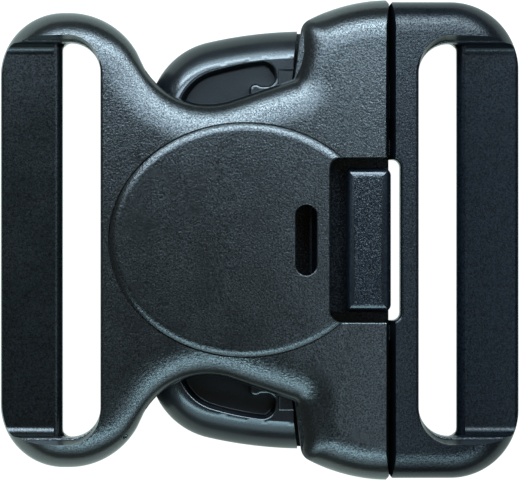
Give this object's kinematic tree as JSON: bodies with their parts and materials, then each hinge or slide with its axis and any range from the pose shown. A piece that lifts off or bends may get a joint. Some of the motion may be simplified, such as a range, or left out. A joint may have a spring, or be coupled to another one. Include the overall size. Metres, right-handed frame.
{
  "type": "side-squeeze belt buckle",
  "caption": "Moulded belt buckle, shown fastened: a waisted socket with a strap bar, a plug frame with a strap bar, squeeze levers at its sides and a release tab in a window.",
  "frame": {"origin": "centre of the buckle's outline on the back plane that it lies on", "axes": "+X along the belt from the socket to the plug, +Y across the belt, +Z out of the front face"},
  "size_m": [0.0682, 0.0628, 0.0137],
  "materials": {
    "socket_plastic": "fine spark-eroded grain, satin black",
    "plug_plastic": "fine spark-eroded grain, satin blue-black",
    "lever_plastic": "nearly smooth satin black",
    "tab_plastic": "coarse speckled grain, matt black"
  },
  "bodies": {
    "buckle": {"socket_body": "socket_plastic", "plug_frame": "plug_plastic"},
    "upper_side": {"upper_lever": "lever_plastic"},
    "lower_side": {"lower_lever": "lever_plastic"},
    "tab": {"release_tab": "tab_plastic"}
  },
  "joints": [
    {"name": "upper_squeeze", "type": "hinge", "parent": "buckle", "child": "upper_side", "pos_m": [0.0165, 0.0185, 0.0064], "axis": [0, 0, 1], "range_deg": [0, 10], "stiffness_Nm_per_rad": 1},
    {"name": "lower_squeeze", "type": "hinge", "parent": "buckle", "child": "lower_side", "pos_m": [0.0165, -0.0185, 0.0064], "axis": [0, 0, -1], "range_deg": [0, 10], "stiffness_Nm_per_rad": 1},
    {"name": "tab_press", "type": "hinge", "parent": "buckle", "child": "tab", "pos_m": [-0.001, 0, 0.0034], "axis": [0, 1, 0], "range_deg": [0, 6.3], "stiffness_Nm_per_rad": 0.6}
  ]
}
